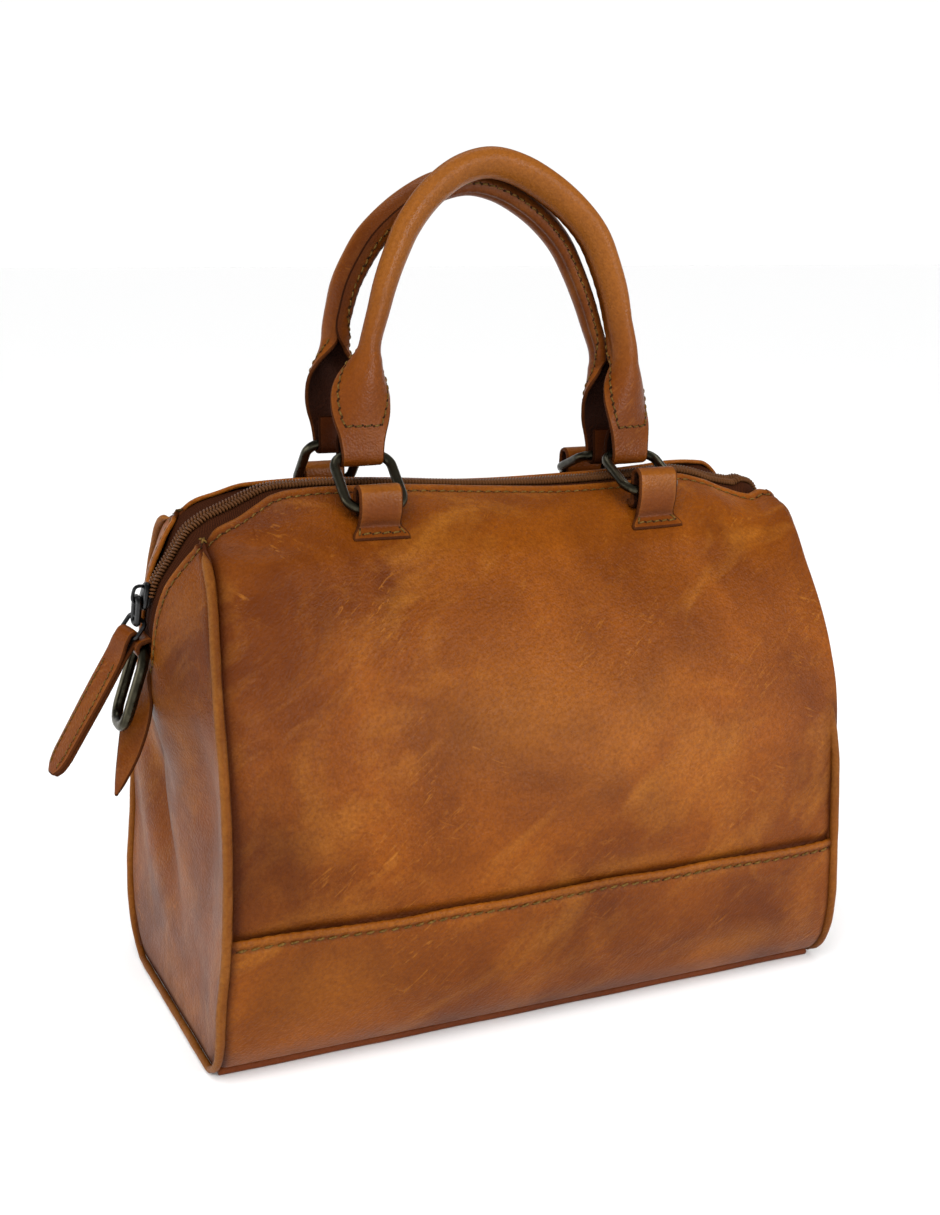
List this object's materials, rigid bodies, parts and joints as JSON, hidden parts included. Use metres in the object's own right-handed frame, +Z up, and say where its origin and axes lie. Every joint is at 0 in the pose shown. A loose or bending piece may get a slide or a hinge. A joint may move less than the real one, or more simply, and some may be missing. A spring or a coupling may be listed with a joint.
{
  "type": "bowler bag",
  "caption": "Tan leather bowler bag with bowed panels over a lower band, piped end gussets, a zip over the top and rolled handles that swing on dark metal rings.",
  "frame": {"origin": "on the floor, under the middle of the base", "axes": "+Z up, +X to the right of someone facing the front, front facing -Y"},
  "size_m": [0.3899, 0.1866, 0.3956],
  "materials": {
    "tan_leather": "waxed, marbled cognac tan",
    "piping_leather": "waxed, paler at the crown",
    "strap_leather": "waxed, dark cut edges",
    "zip_tape": "woven, dark chocolate",
    "zip_coil": "glossy brown coil",
    "dark_metal": "antiqued, dark olive with bright worn edges"
  },
  "bodies": {
    "bag": {"front_panel": "tan_leather", "back_panel": "tan_leather", "front_lower_band": "tan_leather", "back_lower_band": "tan_leather", "base_panel": "tan_leather", "left_gusset": "tan_leather", "right_gusset": "tan_leather", "left_piping": "piping_leather", "right_piping": "piping_leather", "front_left_tab": "strap_leather", "front_right_tab": "strap_leather", "back_left_tab": "strap_leather", "back_right_tab": "strap_leather", "left_strap_tab": "strap_leather", "right_strap_tab": "strap_leather", "zip_pull_tab": "strap_leather", "front_zip_tape": "zip_tape", "back_zip_tape": "zip_tape", "zip_coil": "zip_coil", "zip_slider": "dark_metal", "zip_pull_link": "dark_metal", "zip_pull_ring": "dark_metal", "left_strap_ring": "dark_metal", "right_strap_ring": "dark_metal"},
    "front_handle": {"front_handle": "strap_leather", "front_left_ring": "dark_metal", "front_right_ring": "dark_metal"},
    "back_handle": {"back_handle": "strap_leather", "back_left_ring": "dark_metal", "back_right_ring": "dark_metal"}
  },
  "joints": [
    {"name": "front_handle_swing", "type": "hinge", "parent": "bag", "child": "front_handle", "pos_m": [0, -0.036, 0.24], "axis": [1, 0, 0], "range_deg": [0, 150]},
    {"name": "back_handle_swing", "type": "hinge", "parent": "bag", "child": "back_handle", "pos_m": [0, 0.036, 0.24], "axis": [-1, 0, 0], "range_deg": [0, 150]}
  ]
}
